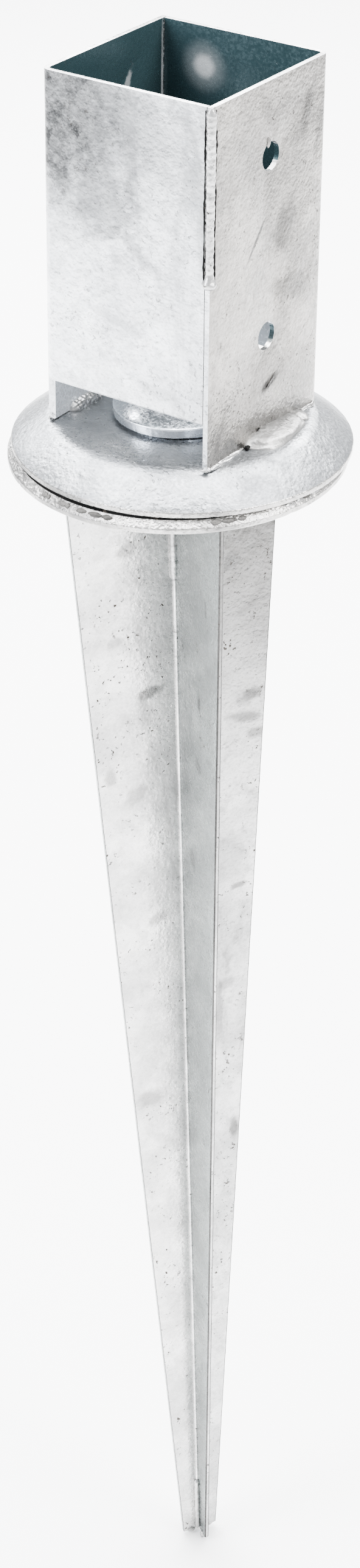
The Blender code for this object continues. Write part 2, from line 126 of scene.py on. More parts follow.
class Nodes:
    """A short way to write a node tree."""

    def __init__(self, name):
        self.material = bpy.data.materials.new(name)
        self.material.use_nodes = True
        self.tree = self.material.node_tree
        self.shader = self.tree.nodes["Principled BSDF"]
        self.place = self.add("ShaderNodeTexCoord").outputs["Object"]
        self.wobble = None

    def add(self, kind, **settings):
        node = self.tree.nodes.new(kind)
        for key, value in settings.items():
            setattr(node, key, value)
        return node

    def feed(self, socket, value):
        if isinstance(value, bpy.types.NodeSocket):
            self.tree.links.new(value, socket)
        else:
            socket.default_value = value

    def mapped(self, scale=(1, 1, 1), turn=(0, 0, 0), shift=(0, 0, 0)):
        node = self.add("ShaderNodeMapping")
        self.feed(node.inputs["Vector"], self.place)
        node.inputs["Scale"].default_value = scale
        node.inputs["Rotation"].default_value = turn
        node.inputs["Location"].default_value = shift
        return node.outputs["Vector"]

    def noise(self, scale, detail=3.0, rough=0.55, place=None, distortion=0.0):
        node = self.add("ShaderNodeTexNoise")
        self.feed(node.inputs["Vector"], place or self.place)
        node.inputs["Scale"].default_value = scale
        node.inputs["Detail"].default_value = detail
        node.inputs["Roughness"].default_value = rough
        node.inputs["Distortion"].default_value = distortion
        return node.outputs["Fac"]

    def cells(self, scale, place):
        """A random number from 0 to 1 in each cell."""
        node = self.add("ShaderNodeTexVoronoi")
        self.feed(node.inputs["Vector"], place)
        node.inputs["Scale"].default_value = scale
        split = self.add("ShaderNodeSeparateColor")
        self.feed(split.inputs[0], node.outputs["Color"])
        return split.outputs[0]

    def ramp(self, value, low, high, start=0.0, end=1.0):
        """value from low..high to start..end, clamped and eased."""
        node = self.add("ShaderNodeMapRange", interpolation_type="SMOOTHSTEP")
        self.feed(node.inputs["Value"], value)
        for key, number in (("From Min", low), ("From Max", high),
                            ("To Min", start), ("To Max", end)):
            node.inputs[key].default_value = number
        return node.outputs["Result"]

    def math(self, operation, a, b=0.5):
        node = self.add("ShaderNodeMath", operation=operation)
        self.feed(node.inputs[0], a)
        self.feed(node.inputs[1], b)
        return node.outputs[0]

    def mix(self, factor, a, b):
        node = self.add("ShaderNodeMix", data_type="RGBA")
        self.feed(node.inputs["Factor"], factor)
        self.feed(node.inputs["A"], a)
        self.feed(node.inputs["B"], b)
        return node.outputs["Result"]

    def bump(self, height, distance):
        node = self.add("ShaderNodeBump")
        self.feed(node.inputs["Height"], height)
        node.inputs["Distance"].default_value = distance
        node.inputs["Strength"].default_value = 1.0
        return node.outputs["Normal"]

    def patch(self, centre, radii, turn, ragged):
        """1 inside an ellipsoid at centre, fading to 0, with an edge broken up by noise."""
        node = self.add("ShaderNodeMapping", vector_type="TEXTURE")
        self.feed(node.inputs["Vector"], self.place)
        node.inputs["Location"].default_value = centre
        node.inputs["Rotation"].default_value = turn
        node.inputs["Scale"].default_value = radii
        length = self.add("ShaderNodeVectorMath", operation="LENGTH")
        self.feed(length.inputs[0], node.outputs["Vector"])
        if self.wobble is None:
            self.wobble = self.math("SUBTRACT", self.noise(RAGGED_SCALE, 5.0, 0.65), 0.5)
        distance = self.math("ADD", length.outputs["Value"],
                             self.math("MULTIPLY", self.wobble, 2.0 * ragged))
        return self.ramp(distance, PATCH_CORE, 1.0, 1.0, 0.0)

    def axis(self, name):
        node = self.add("ShaderNodeSeparateXYZ")
        self.feed(node.inputs[0], self.place)
        return node.outputs[name]


def grey(level, warmth=0.0):
    """A colour of that level; warmth above 0 leans to cream, below 0 to blue."""
    return (level * (1 + warmth), level, level * (1 - 1.3 * warmth), 1.0)


def shade(colour, share):
    return tuple(share * channel for channel in colour[:3]) + (1.0,)


def zinc(name, light, dark, roughness, peel=1.0, smears=0.5, pits=0.5, metal=0.9,
         smear_turn=(0.0, 0.5, 0.3), stain=None, seed=0.0, patches=(), fade=None, grain=0.5,
         flakes=0.22):
    """Hot-dip zinc: clouded tone, smears, orange peel, fine grain and dark pits.

    fade is (low, high, tone): the tone that takes over from height low to height high.
    """
    n = Nodes(name)
    shift = (seed, seed * 0.7, -seed)
    base = n.mapped(shift=shift)
    cloud = n.noise(CLOUD_SCALE, 4.0, 0.6, base)
    tone = n.mix(n.ramp(cloud, 0.36, 0.66), light, dark)

    streak_place = n.mapped(scale=(1.0, 1.0, 0.24), turn=smear_turn, shift=shift)
    streak = n.noise(SMEAR_SCALE, 6.0, 0.68, streak_place, 0.6)
    region = n.ramp(n.noise(SMEAR_REGION_SCALE, 2.0, 0.5, base), 0.50, 0.64)
    smear = n.math("MULTIPLY", n.ramp(streak, 0.50, 0.66), region)
    smear = n.math("MULTIPLY", smear, smears)
    tone = n.mix(smear, tone, stain or shade(light, 0.30))

    if fade:
        low, high, colour = fade
        tone = n.mix(n.ramp(n.axis("Z"), low, high), tone, colour)
    for centre, radii, turn, strength, colour, ragged in patches:
        mask = n.math("MULTIPLY", n.patch(centre, radii, turn, ragged), strength)
        tone = n.mix(mask, tone, colour)

    flake = n.ramp(n.cells(CRYSTAL_SCALE, base), 0.0, 1.0, 0.0, flakes)
    tone = n.mix(flake, tone, shade(light, 0.45))
    mottle = n.noise(MOTTLE_SCALE, 6.0, 0.72, base)
    tone = n.mix(n.ramp(mottle, 0.47, 0.68, 0.0, grain), tone, shade(light, 0.34))
    grit = n.noise(GRIT_SCALE, 3.0, 0.6, base)
    tone = n.mix(n.ramp(grit, 0.52, 0.72, 0.0, grain * 0.8), tone, shade(light, 0.30))

    speck = n.noise(PIT_SCALE, 2.0, 0.6, base)
    clump = n.ramp(n.noise(PIT_CLUMP_SCALE, 3.0, 0.6, base), 0.46, 0.60)
    pit = n.math("MULTIPLY", n.ramp(speck, 0.635, 0.69), clump)
    pit = n.math("MULTIPLY", pit, pits)
    tone = n.mix(pit, tone, PIT_TONE)
    n.feed(n.shader.inputs["Base Color"], tone)
    n.shader.inputs["Metallic"].default_value = metal

    fine = n.noise(SHEEN_SCALE, 2.0, 0.5, base)
    rough = n.math("ADD", n.ramp(fine, 0.3, 0.7, roughness - 0.10, roughness + 0.06),
                   n.math("MULTIPLY", smear, 0.20))
    rough = n.math("ADD", rough, n.ramp(cloud, 0.35, 0.65, -0.04, 0.05))
    n.feed(n.shader.inputs["Roughness"], rough)

    orange = n.noise(PEEL_SCALE, 1.5, 0.5, base)
    coarse = n.noise(WAVE_SCALE, 2.0, 0.4, base)
    height = n.math("ADD", n.math("MULTIPLY", orange, 0.42), coarse)
    height = n.math("SUBTRACT", height, n.math("MULTIPLY", pit, 0.6))
    height = n.math("SUBTRACT", height, n.math("MULTIPLY", smear, 0.12))
    n.feed(n.shader.inputs["Normal"], n.bump(height, PEEL_DEPTH * peel))
    return n.material


SMUDGE = grey(0.022, -0.03)
SMUDGE_SOFT = grey(0.10, -0.03)
SMUDGE_WIDE = grey(0.065, -0.03)
SMUDGE_AND_SHADE_WARM = grey(0.045, 0.02)
GOUGE = grey(0.004, 0.10)
PALE = grey(0.95, -0.02)

# Smudges on the socket's walls, and a painted shade along the long walls' foot: place along
# the wall, height, half width, half height, tilt, strength, tone and how ragged the edge is
SHORT_WALL_MARKS = [
    (-0.034, 0.128, 0.060, 0.054, 0.5, 0.88, SMUDGE_WIDE, 0.30),
    (-0.036, 0.124, 0.030, 0.040, 0.4, 0.88, SMUDGE, 0.5),
    (-0.022, 0.120, 0.0034, 0.017, -0.6, 0.95, SMUDGE, 0.5),
    (-0.015, 0.112, 0.0030, 0.008, -0.3, 0.70, SMUDGE, 0.8),
    (-0.030, 0.106, 0.008, 0.014, -0.2, 0.75, SMUDGE, 0.9),
    (-0.010, 0.094, 0.024, 0.019, 0.6, 0.65, SMUDGE_SOFT, 0.9),
    (0.015, 0.120, 0.030, 0.024, 0.2, 0.40, SMUDGE_SOFT, 0.8),
    (0.006, 0.078, 0.018, 0.004, 0.7, 0.45, SMUDGE_SOFT, 1.0),
    (-0.004, 0.050, 0.016, 0.003, 0.3, 0.35, SMUDGE_SOFT, 1.0),
    (0.016, 0.026, 0.012, 0.004, 0.2, 0.35, SMUDGE_SOFT, 1.0),
]
LONG_WALL_MARKS = [
    (0.024, 0.121, 0.0040, 0.013, -0.35, 0.75, SMUDGE_AND_SHADE_WARM, 0.9),
    (0.033, 0.112, 0.0035, 0.016, -0.3, 0.65, SMUDGE_AND_SHADE_WARM, 0.9),
    (0.010, 0.080, 0.010, 0.012, -0.5, 0.65, SMUDGE_AND_SHADE_WARM, 1.0),
    (0.015, 0.055, 0.018, 0.007, -0.2, 0.6, SMUDGE_AND_SHADE_WARM, 1.0),
    # A faint, wide darkening along the foot, above the foot weld: painted shade
    (0.000, 0.018, 0.042, 0.026, 0.1, 0.26, SMUDGE_AND_SHADE_WARM, 0.4),
    (0.0028, 0.0205, 0.0085, 0.0030, 0.34, 1.0, GOUGE, 0.12),
    (0.0036, 0.0208, 0.0070, 0.0024, 0.34, 1.0, GOUGE, 0.05),
    (-0.0084, 0.0805, 0.0011, 0.0125, -0.68, 0.9, SMUDGE, 0.2),
]

# A bright spot, painted highlight, and two pale streaks on the insides of the walls, near the
# top
INNER_HIGHLIGHT_AND_STREAKS = [
    # The first two patches paint that highlight
    ((-0.0165, 0.036, 0.1235), (0.0120, 0.004, 0.0120), (0.0, 0.0, 0.0), 0.12, PALE, 0.10),
    ((-0.0165, 0.036, 0.1235), (0.0060, 0.004, 0.0060), (0.0, 0.0, 0.0), 0.45, PALE, 0.15),
    ((-0.0350, 0.012, 0.1190), (0.004, 0.0022, 0.0090), (-0.5, 0.0, 0.0), 0.28, PALE, 1.0),
    ((-0.0350, 0.0352, 0.100), (0.0010, 0.0010, 0.050), (0.0, 0.0, 0.0), 0.50, PALE, 0.2),
]


def wall_patches(marks, short_wall):
    """Patches for marks on the front wall of that kind, and half a turn round on its twin."""
    patches = []
    for half_turn in (0.0, math.pi):
        way = 1 if half_turn == 0.0 else -1
        for along, height, wide, high, tilt, strength, tone, ragged in marks:
            if short_wall:
                centre = (way * along, -way * SHORT_WALL_MARK_Y, height)
                radii, turn = (wide, THROUGH, high), (0.0, tilt, half_turn)
            else:
                centre = (way * LONG_WALL_MARK_X, way * along, height)
                radii, turn = (THROUGH, wide, high), (tilt, 0.0, half_turn)
            patches.append((centre, radii, turn, strength, tone, ragged))
    return patches


# Spike smudges: distance out along the fin, depth below its top, half sizes, tilt, strength
RIGHT_FIN_MARKS = [
    (0.025, 0.041, 0.0085, 0.0055, 0.3, 0.85), (0.0435, 0.044, 0.0040, 0.0070, 0.0, 0.7),
    (0.022, 0.060, 0.0085, 0.0050, 0.7, 0.9), (0.030, 0.083, 0.0090, 0.0030, 0.6, 0.4),
    (0.031, 0.125, 0.0085, 0.0045, 0.3, 0.9), (0.029, 0.135, 0.0105, 0.0035, -0.2, 0.8),
    (0.034, 0.144, 0.0060, 0.0035, 0.0, 0.7), (0.025, 0.219, 0.0050, 0.0020, 0.2, 0.8),
    (0.018, 0.270, 0.0060, 0.0040, 0.4, 0.5), (0.021, 0.352, 0.0030, 0.0075, 0.0, 0.85),
]
LEFT_FIN_MARKS = [
    (-0.019, 0.022, 0.0050, 0.0040, 0.0, 0.7), (-0.021, 0.044, 0.0065, 0.0045, 0.4, 0.6),
    (-0.013, 0.112, 0.0085, 0.0035, 0.2, 0.8), (-0.031, 0.148, 0.0040, 0.0065, 0.2, 0.6),
    (-0.020, 0.160, 0.0085, 0.0060, 0.5, 0.5), (-0.027, 0.085, 0.0050, 0.0030, 0.4, 0.4),
    (-0.012, 0.225, 0.0070, 0.0040, 0.5, 0.5), (-0.018, 0.322, 0.0095, 0.0070, 0.2, 0.6),
]
FRONT_FIN_MARKS = [
    (0.022, 0.108, 0.0020, 0.0050, 0.0, 0.8), (0.020, 0.140, 0.0030, 0.0050, 0.4, 0.5),
    (0.012, 0.190, 0.0030, 0.0060, 0.2, 0.5), (0.030, 0.060, 0.0012, 0.0060, 0.1, 0.5),
    (0.016, 0.030, 0.0040, 0.0080, 0.0, 0.3),
]


def fin_patches(marks, along_x, tone):
    """Patches for marks on a fin that lies along the spike's X, or else its Y; both ends."""
    patches = []
    for out, drop, wide, high, tilt, strength in marks:
        for way in (1, -1):
            local = Vector((out * way, 0.0, 0.0) if along_x else (0.0, out * way, 0.0))
            centre = SPIKE @ (local + Vector((0.0, 0.0, FIN_TOP - drop)))
            radii = (wide, THROUGH, high) if along_x else (THROUGH, wide, high)
            turn = (0.0, -tilt, FIN_ANGLE) if along_x else (tilt, 0.0, FIN_ANGLE)
            patches.append((centre, radii, turn, strength, tone, FIN_MARK_RAGGED))
    return patches


# The walls' outsides are one zinc in two copies, painted light and shade: pale and cool on the
# short walls, dark and warm on the long ones
SOCKET_ZINC_LIT = zinc("zinc_socket_lit", grey(0.79, -0.025), grey(0.55, -0.035), 0.27, smears=0.6, seed=0.3,
            patches=wall_patches(SHORT_WALL_MARKS, True))
SOCKET_ZINC_SHADED = zinc("zinc_socket_shaded", grey(0.31, 0.045), grey(0.21, 0.030), 0.32, peel=1.2, smears=0.8,
            pits=0.9, smear_turn=(0.3, 0.2, 0.1), seed=1.7,
            patches=wall_patches(LONG_WALL_MARKS, False))
# Inside the walls: pale near the foot, painted light coming in under the walls; dark teal higher
# up, painted shade
INSIDE_LIT_AND_SHADED = zinc("zinc_inside_lit_and_shaded", grey(0.95, -0.03), grey(0.85, -0.05), 0.26, smears=0.25,
             pits=0.2, metal=0.45, seed=2.9, stain=(0.30, 0.36, 0.37, 1.0), peel=0.35,
             grain=0.0, flakes=0.0, patches=INNER_HIGHLIGHT_AND_STREAKS,
             fade=(0.016, 0.042, (0.024, 0.048, 0.055, 1.0)))
# The fins are one zinc in three copies, one for each way their faces look: their tones are
# painted light and shade
SPIKE_LIT_SIDE = zinc("zinc_spike_lit_side", grey(0.70, 0.010), grey(0.44, 0.004), 0.30, smears=0.7,
                   pits=1.0, seed=4.1, smear_turn=(0.2, 1.2, 0.4), grain=0.3, peel=0.6,
                   patches=fin_patches(LEFT_FIN_MARKS, False, SMUDGE_AND_SHADE_WARM))
SPIKE_HALF_LIT_SIDE = zinc("zinc_spike_half_lit_side", grey(0.56, 0.004), grey(0.34, 0.0), 0.32, peel=1.4,
                  smears=0.8, pits=1.0, seed=5.7, fade=(-0.22, -0.04, grey(0.10, 0.03)),
                  patches=fin_patches(RIGHT_FIN_MARKS, False, SMUDGE_AND_SHADE_WARM))
SPIKE_SHADED_SIDE = zinc("zinc_spike_shaded_side", (0.230, 0.252, 0.250, 1.0), (0.163, 0.178, 0.177, 1.0),
                  0.32, smears=0.5, pits=0.9, seed=6.6, grain=0.35, flakes=0.1,
                  patches=fin_patches(FRONT_FIN_MARKS, True, SMUDGE))
# Near-black on the fins' rounded edges: painted shade, the dark lines beside each edge's strip
FIN_EDGE_SHADE = zinc("zinc_fin_edge_shade", grey(0.06, 0.02), grey(0.02, 0.02), 0.5, peel=1.2, smears=0.5,
                pits=1.0, metal=0.8, seed=6.1)
PLATE_TOP = zinc("zinc_plate_upper", grey(0.36, -0.035), grey(0.24, -0.045), 0.36, peel=0.8,
                 smears=0.5, pits=0.5, seed=2.4, grain=0.25, flakes=0.15)
PLATE_LOW = zinc("zinc_plate_lower", grey(0.55, 0.02), grey(0.30, 0.01), 0.36, peel=1.4,
                 smears=0.5, pits=1.0, seed=3.2)
DISC_ZINC = zinc("zinc_disc", grey(0.84, -0.06), grey(0.62, -0.06), 0.20, peel=0.3, smears=0.3,
                 pits=0.2, seed=5.1, grain=0.05, flakes=0.0)
PLATED = zinc("zinc_plated", grey(0.60, 0.012), grey(0.45, 0.02), 0.28, peel=0.25, smears=0.2,
              pits=0.2, seed=7.3)
WELD = zinc("zinc_weld", grey(0.66, 0.004), grey(0.40, 0.01), 0.34, peel=1.2, smears=0.5,
            pits=1.0, seed=8.8)
SWELL = zinc("zinc_swelling", grey(0.40, 0.015), grey(0.32, 0.010), 0.40, peel=0.6, smears=0.3,
             pits=0.6, seed=8.1, grain=0.15, flakes=0.1)
DROSS = zinc("zinc_dross", grey(0.10, 0.04), grey(0.03, 0.06), 0.62, peel=2.0, smears=0.2,
             pits=1.0, metal=0.5, seed=9.4)
# Near-black for creases, hollows and the flange under the upper plate: painted shade
PAINTED_SHADE = zinc("zinc_painted_shade", grey(0.010, 0.0), grey(0.004, 0.0), 0.9, peel=1.0, smears=0.2,
             pits=1.0, metal=0.0, seed=1.4)
PAINTED_SHADE.node_tree.nodes["Principled BSDF"].inputs["Specular IOR Level"].default_value = 0.05
EDGE = zinc("zinc_edge", grey(0.70, 0.004), grey(0.36, 0.0), 0.24, peel=0.5, smears=0.4,
            pits=1.0, seed=0.9)
RIM = zinc("zinc_rim", grey(0.52, 0.02), grey(0.16, 0.01), 0.34, peel=2.2, smears=0.8,
           pits=1.0, seed=3.9)


# Mesh tools


def add_piece(name, bm, body, materials, replaces=(), smooth_angle=32.0, matrix=None):
    """Put a mesh into the scene as a finished piece of the object."""
    bmesh.ops.recalc_face_normals(bm, faces=bm.faces)
    mesh = bpy.data.meshes.new(name)
    bm.to_mesh(mesh)
    bm.free()
    if matrix is not None:
        mesh.transform(matrix)
    mesh.shade_smooth()
    mesh.set_sharp_from_angle(angle=math.radians(smooth_angle))
    for material in materials:
        mesh.materials.append(material)
    obj = bpy.data.objects.new(name, mesh)
    bpy.context.scene.collection.objects.link(obj)
    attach(obj, body)
    if replaces:
        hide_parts(*replaces)
    return obj


def arc(centre, radius, start, end, steps):
    angles = [start + (end - start) * i / steps for i in range(steps + 1)]
    return [(centre[0] + radius * math.cos(a), centre[1] + radius * math.sin(a)) for a in angles]


def rounded(outline, steps):
    """Replace each (x, y, radius) corner of a closed outline by an arc."""
    points = []
    for i, (x, y, radius) in enumerate(outline):
        corner = Vector((x, y))
        if radius == 0:
            points.append(corner[:])
            continue
        back = (Vector(outline[i - 1][:2]) - corner).normalized()
        ahead = (Vector(outline[(i + 1) % len(outline)][:2]) - corner).normalized()
        half_angle = back.angle(ahead) / 2
        centre = corner + (back + ahead).normalized() * radius / math.sin(half_angle)
        first = corner + back * radius / math.tan(half_angle) - centre
        last = corner + ahead * radius / math.tan(half_angle) - centre
        sweep = last.angle_signed(first)
        for step in range(steps + 1):
            spoke = first.copy()
            spoke.rotate(Matrix.Rotation(sweep * step / steps, 2))
            points.append((centre + spoke)[:])
    return points


def spread(profile, longest):
    """Add points to a closed profile so that no step is longer than that."""
    points = []
    for i, point in enumerate(profile):
        here, there = Vector(point), Vector(profile[(i + 1) % len(profile)])
        parts = max(1, math.ceil((there - here).length / longest))
        points += [here.lerp(there, k / parts)[:] for k in range(parts)]
    return points


def turned(profile, steps, shape=None, closed=True, edge_test=None):
    """A bmesh turned about Z; shape(angle, r, z) may move each point."""
    bm = bmesh.new()
    rings = []
    for i in range(steps):
        angle = 2 * math.pi * i / steps
        ring = []
        for r, z in profile:
            if shape:
                r, z = shape(angle, r, z)
            ring.append(bm.verts.new((r * math.cos(angle), r * math.sin(angle), z)))
        rings.append(ring)
    count = len(profile)
    spans = range(count if closed else count - 1)
    for i in range(steps):
        ring, following = rings[i], rings[(i + 1) % steps]
        for j in spans:
            k = (j + 1) % count
            face = bm.faces.new((ring[j], ring[k], following[k], following[j]))
            if edge_test:
                face.material_index = edge_test(profile[j], profile[k])
    if not closed:
        bmesh.ops.remove_doubles(bm, verts=bm.verts, dist=1e-7)
    return bm


def refined(node, name, body, materials, width=0.0003, segments=3, pick=None):
    """A copy of a CAD node with softened edges, which have the second material: worn zinc on the
    socket, washer and nut, painted shade on the fins.

    pick(normal, middle) may give a face another of the materials.
    """
    bm = bmesh.new()
    bm.from_mesh(frame["nodes"][node].data)
    bmesh.ops.remove_doubles(bm, verts=bm.verts, dist=1e-6)
    bmesh.ops.dissolve_limit(bm, angle_limit=math.radians(0.5), verts=bm.verts, edges=bm.edges)
    for face in bm.faces:
        face.material_index = 0
    sharp = [e for e in bm.edges
             if len(e.link_faces) == 2 and e.calc_face_angle(0.0) > math.radians(35)]
    bmesh.ops.bevel(bm, geom=sharp, offset=width, segments=segments, profile=0.5,
                    affect="EDGES", clamp_overlap=True, material=1)
    bmesh.ops.triangulate(bm, faces=[f for f in bm.faces if len(f.verts) > 4])
    bm.normal_update()
    for face in bm.faces:
        if pick and face.material_index == 0:
            face.material_index = pick(face.normal, face.calc_center_median())
    return add_piece(name, bm, body, materials, (node,), 16.0)


def strip(name, sections, body, materials, replaces=(), matrix=None):
    """A solid lofted through a list of equal, closed sections, with both ends shut."""
    bm = bmesh.new()
    rings = [[bm.verts.new(p) for p in section] for section in sections]
    count = len(rings[0])
    for ring, following in zip(rings, rings[1:]):
        for j in range(count):
            k = (j + 1) % count
            bm.faces.new((ring[j], ring[k], following[k], following[j]))
    for ring in (rings[0], rings[-1]):
        bm.faces.new(ring)
    return add_piece(name, bm, body, materials, replaces, 60.0, matrix)


RING_GAP = 0.0006               # between two rings of a weld's mesh
FILLET_RIPPLE = 0.0022          # length of one ripple
BEAD_RIPPLE = 0.0024
FILLET_SINK = 0.0004            # how far a fillet reaches into its sheets
FILLET_SIDES = 14
BEAD_ROUGHNESS_SCALE = 420.0
DROP_LEVEL = 3


def fillet(name, start, along, out, up, length, reach, body, materials, replaces=(),
           matrix=None, lump=0.12, bulge=1.0, seed=0.0, dent=None, swell=None,
           wave=0.05, rate=300.0):
    """A weld in an inside corner: reach = (out, up), lumpy, rippled and tapered at its ends."""
    along, out, up = Vector(along), Vector(out), Vector(up)
    start = Vector(start)
    steps = max(24, int(length / RING_GAP))
    sections = []
    for i in range(steps + 1):
        t = i / steps
        taper = (1 - abs(2 * t - 1) ** 5) ** 0.5 if 0 < i < steps else 0.06
        size = swell(t) if swell else 1.0
        ripple = 1 + wave * math.sin(2 * math.pi * length * t / FILLET_RIPPLE)
        section = [start + along * length * t - FILLET_SINK * (out + up)]
        for j in range(FILLET_SIDES + 1):
            a = math.pi / 2 * j / FILLET_SIDES
            spot = Vector((t * length * rate, math.cos(a) * 2, math.sin(a) * 2 + seed))
            rough = 1 + lump * noise.noise(spot) + lump * 0.4 * noise.noise(spot * 2.7)
            x = reach[0] * math.cos(a) ** bulge
            z = reach[1] * math.sin(a) ** bulge
            scale = taper * size * ripple * rough
            if dent:
                scale *= dent(t, a)
            point = start + along * length * t + out * x * scale + up * z * scale
            if j == 0:
                point -= up * FILLET_SINK
            if j == FILLET_SIDES:
                point -= out * FILLET_SINK
            section.append(point)
        sections.append(section)
    return strip(name, sections, body, materials, replaces, matrix)


def bead(name, foot, top, radius, body, materials, replaces=(), matrix=None, lump=0.12,
         seed=0.0, size=None, sides=14):
    """A rippled round bead from foot to top; size(t) may change its radius on the way."""
    foot, top = Vector(foot), Vector(top)
    total = (top - foot).length
    direction = (top - foot).normalized()
    side = Vector((1, 0, 0))
    u = (side - direction * direction.dot(side)).normalized()
    v = direction.cross(u)
    steps = max(16, int(total / RING_GAP))
    sections = []
    for k in range(steps + 1):
        t = k / steps
        s = total * t
        spot = foot.lerp(top, t)
        end = min(s, total - s) / (radius * 1.5)
        taper = math.sqrt(max(0.004, 1 - (1 - min(1.0, end)) ** 2))
        scale = radius * taper * (size(t) if size else 1.0)
        ripple = 0.04 * math.sin(2 * math.pi * s / BEAD_RIPPLE)
        section = []
        for j in range(sides):
            a = 2 * math.pi * j / sides
            rough = Vector((s * BEAD_ROUGHNESS_SCALE, 1.5 * math.cos(a),
                            1.5 * math.sin(a) + seed))
            r = scale * (1 + lump * noise.noise(rough) + ripple)
            section.append(spot + u * (r * math.cos(a)) + v * (r * math.sin(a)))
        sections.append(section)
    return strip(name, sections, body, materials, replaces, matrix)


def blobs(name, items, body, materials, matrix=None, seed=0.0):
    """Flattened, uneven drops joined in one piece: each (place, (x, y, z) half sizes, turn)."""
    bm = bmesh.new()
    for index, (place, size, turn) in enumerate(items):
        drop = bmesh.new()
        bmesh.ops.create_icosphere(drop, subdivisions=DROP_LEVEL, radius=1.0)
        spin = Matrix.Rotation(turn[2], 4, "Z") @ Matrix.Rotation(turn[1], 4, "Y") \
            @ Matrix.Rotation(turn[0], 4, "X")
        for vert in drop.verts:
            p = vert.co
            rough = 1 + 0.30 * noise.noise(p * 1.4 + Vector((seed + index * 3.7, 0, 0))) \
                + 0.12 * noise.noise(p * 4.0 + Vector((0, seed + index, 0)))
            local = Vector((p.x * size[0], p.y * size[1], p.z * size[2])) * rough
            vert.co = Vector(place) + spin @ local
        part = bpy.data.meshes.new("drop")
        drop.to_mesh(part)
        drop.free()
        bm.from_mesh(part)
        bpy.data.meshes.remove(part)
    return add_piece(name, bm, body, materials, (), 70.0, matrix)


# Socket

def wall_face(normal, middle):
    """0 for the short walls' outsides, 2 for the long walls' outsides, 3 for the insides."""
    if abs(normal.z) > 0.5 or normal.x * middle.x + normal.y * middle.y < 0:
        return 3 if abs(normal.z) < 0.5 else 1
    return 2 if abs(normal.x) > abs(normal.y) else 0


for side in ("left", "right"):
    refined("socket_angle_" + side, f"socket_wall_{side}", "head",
            [SOCKET_ZINC_LIT, EDGE, SOCKET_ZINC_SHADED, INSIDE_LIT_AND_SHADED], pick=wall_face)

SEAM_R = 0.0018
SEAM_INSET = 0.0008             # from the corner's faces to the middle of the seam's bead
SEAM_OVERRUN = 0.001            # past the lower end of the CAD weld
CREASE_LIFT = 0.003             # from the seam's lower end to that of the creases beside it
CREASE_DROP = 0.001


def seam_size(t):
    """Full size at the top, slimmer towards the foot, with a drop hanging there."""
    tail = math.exp(-((t - 0.03) / 0.035) ** 2)
    return 0.78 + 0.22 * t + 0.75 * tail


def broken(t):
    return 0.35 + 0.65 * abs(math.sin(9.0 * t + 0.8))


for side, sign in (("front", -1), ("back", 1)):
    low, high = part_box("weld_corner_" + side)
    foot, top = low.z - SEAM_OVERRUN, high.z
    seam_x, seam_y = -sign * (WALL_X - SEAM_INSET), sign * (WALL_Y - SEAM_INSET)
    bead("seam_" + side, (seam_x, seam_y, foot), (seam_x, seam_y, top), SEAM_R, "head", [WELD],
         ("weld_corner_" + side,), lump=0.16, seed=sign * 2.0, size=seam_size)
    # Painted shade: near-black strips in the creases on either side of the bead: x, y, radius
    creases = ((-sign * (WALL_X + 0.0001), sign * (WALL_Y - 0.0024), 0.0005),
               (-sign * (WALL_X - 0.0026), sign * (WALL_Y + 0.0002), 0.00036))
    for number, (x, y, radius) in enumerate(creases):
        bead(f"seam_shade_{side}_{number}", (x, y, foot + CREASE_LIFT),
             (x, y, top - CREASE_DROP), radius, "head", [PAINTED_SHADE], lump=0.9,
             seed=sign * 5.0 + number, sides=8, size=broken)


def crater(t, a):
    """A hollow near the start of the foot weld and a notch near its end."""
    hole = math.exp(-((t - 0.05) / 0.05) ** 2 - ((a - 0.85) / 0.5) ** 2)
    notch = math.exp(-((t - 0.84) / 0.03) ** 2)
    return 1 - 0.5 * hole - 0.30 * notch


def heap(t):
    return 0.80 + 0.35 * math.exp(-((t - 0.35) / 0.3) ** 2)


